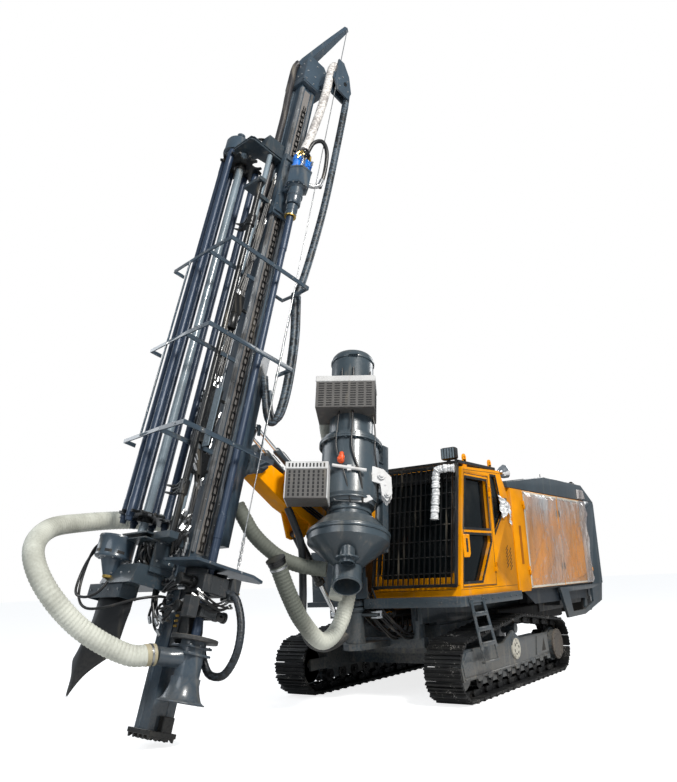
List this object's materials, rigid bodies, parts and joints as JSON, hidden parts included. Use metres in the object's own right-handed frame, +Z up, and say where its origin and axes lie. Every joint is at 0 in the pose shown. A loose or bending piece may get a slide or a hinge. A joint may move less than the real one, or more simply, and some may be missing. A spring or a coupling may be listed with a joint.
{
  "type": "crawler drilling rig",
  "caption": "Diesel rock drilling rig on crawler tracks with a swung boom, a leaning raised mast with rod magazine, a dust collector, a guarded cab and an engine housing",
  "frame": {"origin": "on the ground under the middle of the rig's overall box", "axes": "+X to the machine's left (cab side), -Y to the front (mast), +Z up"},
  "size_m": [2.9285, 9.7406, 9.0753],
  "materials": {
    "yellow": "gloss amber yellow paint, dusty",
    "grey": "satin blue-grey paint",
    "dark": "satin dark grey paint, oily",
    "black": "satin black paint",
    "track": "worn dark steel with dry earth",
    "rubber": "matt black rubber",
    "cushion": "black woven seat cover",
    "chrome": "polished piston rod",
    "glass": "dark tinted glass",
    "hose": "cream corrugated suction hose",
    "rod": "dark blued drill steel"
  },
  "bodies": {
    "carrier": {"track_left": "track", "track_right": "track", "track_frame_left": "grey", "track_frame_right": "grey", "chassis": "grey", "platform": "grey", "ladder": "grey", "skirt_left": "grey", "skirt_right": "grey", "undertray": "dark", "side_tank": "grey", "cab_side_left": "yellow", "cab_side_right": "yellow", "cab_base": "yellow", "cab_front": "yellow", "cab_roof": "yellow", "windscreen": "glass", "glass_right": "glass", "glass_left": "glass", "cab_guard": "black", "seat": "cushion", "housing_front": "yellow", "housing_frame": "dark", "housing_rear": "grey", "housing_roof": "grey", "engine": "dark"},
    "post": {"swing_post": "grey", "collector": "grey", "hose_post": "hose"},
    "swing_barrel_body": {"swing_barrel": "black"},
    "swing_rod_body": {"swing_rod": "chrome"},
    "boom_body": {"boom": "yellow"},
    "lift_barrel_body": {"lift_barrel": "black"},
    "lift_rod_body": {"lift_rod": "chrome"},
    "tilt_barrel_body": {"tilt_barrel": "grey"},
    "tilt_rod_body": {"tilt_rod": "chrome"},
    "bracket": {"mast_bracket": "grey"},
    "cradle_body": {"cradle": "grey"},
    "mast": {"feed_beam": "grey", "mast_guard": "grey", "drill_table": "dark", "magazine_mount": "dark", "mast_head": "dark", "hose_mast": "hose", "rubber_flap": "rubber"},
    "head": {"rotary_head": "dark"},
    "string": {"drill_string": "rod"},
    "carousel": {"magazine": "rod"},
    "loader": {"rod_arms": "dark"},
    "hood": {"hood_bell": "grey"},
    "door": {"cab_door": "yellow", "cab_door_glass": "glass"},
    "front_door_left_body": {"housing_door_front_left": "yellow"},
    "rear_door_left_body": {"housing_door_rear_left": "yellow"},
    "front_door_right_body": {"housing_door_front_right": "yellow"},
    "rear_door_right_body": {"housing_door_rear_right": "yellow"}
  },
  "joints": [
    {"name": "boom_swing", "type": "hinge", "parent": "carrier", "child": "post", "pos_m": [-0.0088, -0.9248, 0.042], "axis": [0, 0, 1], "range_deg": [-15, 15]},
    {"name": "swing_cylinder_turn", "type": "hinge", "parent": "carrier", "child": "swing_barrel_body", "pos_m": [0.3612, 0.1402, 0.984], "axis": [0, 0, 1], "range_deg": [-2, 1]},
    {"name": "swing_cylinder_stroke", "type": "slide", "parent": "swing_barrel_body", "child": "swing_rod_body", "axis": [-0.0688, -0.9976, -0.0001], "range_m": [-0.0855, 0.0875]},
    {"name": "boom_lift", "type": "hinge", "parent": "post", "child": "boom_body", "pos_m": [-0.01723, -0.97261, 1.65386], "axis": [-0.9848, 0.1736, 0], "range_deg": [0, 10]},
    {"name": "lift_cylinder_turn", "type": "hinge", "parent": "boom_body", "child": "lift_barrel_body", "pos_m": [-0.17067, -1.8428, 1.95002], "axis": [0.9848, -0.1736, 0], "range_deg": [-1, 4.6]},
    {"name": "lift_cylinder_stroke", "type": "slide", "parent": "lift_barrel_body", "child": "lift_rod_body", "axis": [0.0939, 0.5323, -0.8413], "range_m": [-0.01, 0.1078]},
    {"name": "mast_tilt", "type": "hinge", "parent": "boom_body", "child": "bracket", "pos_m": [-0.27858, -2.4548, 2.68312], "axis": [0.9848, -0.1736, 0], "range_deg": [-12, 6]},
    {"name": "tilt_cylinder_turn", "type": "hinge", "parent": "boom_body", "child": "tilt_barrel_body", "pos_m": [-0.17741, -1.88105, 2.62486], "axis": [0.9848, -0.1736, 0], "range_deg": [-5.28, 3.25]},
    {"name": "tilt_cylinder_stroke", "type": "slide", "parent": "tilt_barrel_body", "child": "tilt_rod_body", "axis": [-0.1323, -0.7504, 0.6476], "range_m": [-0.0835, 0.0439]},
    {"name": "mast_swing", "type": "hinge", "parent": "bracket", "child": "cradle_body", "pos_m": [-0.311, -2.63864, 2.73665], "axis": [0.1669, 0.9467, -0.2756], "range_deg": [-12, 12]},
    {"name": "feed_extend", "type": "slide", "parent": "cradle_body", "child": "mast", "axis": [0.0479, 0.2714, 0.9613], "range_m": [0, 0.9]},
    {"name": "head_feed", "type": "slide", "parent": "mast", "child": "head", "axis": [-0.0479, -0.2714, -0.9613], "range_m": [-0.25, 0.9]},
    {"name": "drill_spin", "type": "hinge", "parent": "head", "child": "string", "pos_m": [-0.06059, -3.23156, 1.90877], "axis": [0.0479, 0.2714, 0.9613], "continuous": true},
    {"name": "magazine_turn", "type": "hinge", "parent": "mast", "child": "carousel", "pos_m": [-0.68171, -3.34311, 2.98133], "axis": [0.0479, 0.2714, 0.9613], "continuous": true},
    {"name": "rod_arm_swing", "type": "hinge", "parent": "mast", "child": "loader", "pos_m": [-0.15253, -3.41747, 2.97598], "axis": [0.0479, 0.2714, 0.9613], "range_deg": [-50, 0]},
    {"name": "hood_lift", "type": "slide", "parent": "mast", "child": "hood", "axis": [0.0479, 0.2714, 0.9613], "range_m": [0, 0.05]},
    {"name": "cab_door_hinge", "type": "hinge", "parent": "carrier", "child": "door", "pos_m": [1.354, 0.3172, 1.9], "axis": [0, 0, 1], "range_deg": [0, 100]},
    {"name": "front_door_left", "type": "hinge", "parent": "carrier", "child": "front_door_left_body", "pos_m": [1.354, 1.4632, 1.8], "axis": [0, 0, -1], "range_deg": [0, 100]},
    {"name": "rear_door_left", "type": "hinge", "parent": "carrier", "child": "rear_door_left_body", "pos_m": [1.354, 4.3322, 1.8], "axis": [0, 0, 1], "range_deg": [0, 100]},
    {"name": "front_door_right", "type": "hinge", "parent": "carrier", "child": "front_door_right_body", "pos_m": [-1.1516, 1.4632, 1.8], "axis": [0, 0, 1], "range_deg": [0, 100]},
    {"name": "rear_door_right", "type": "hinge", "parent": "carrier", "child": "rear_door_right_body", "pos_m": [-1.1516, 4.3322, 1.8], "axis": [0, 0, -1], "range_deg": [0, 100]}
  ],
  "couplings": [
    {"joint": "swing_cylinder_turn", "follows": "boom_swing", "ratio": -0.0281},
    {"joint": "swing_cylinder_stroke", "follows": "boom_swing", "m_per_rad": -0.29218},
    {"joint": "lift_cylinder_turn", "follows": "boom_lift", "ratio": 0.35992},
    {"joint": "lift_cylinder_stroke", "follows": "boom_lift", "m_per_rad": 0.56037},
    {"joint": "tilt_cylinder_turn", "follows": "mast_tilt", "ratio": 0.36291},
    {"joint": "tilt_cylinder_stroke", "follows": "mast_tilt", "m_per_rad": 0.34169}
  ]
}
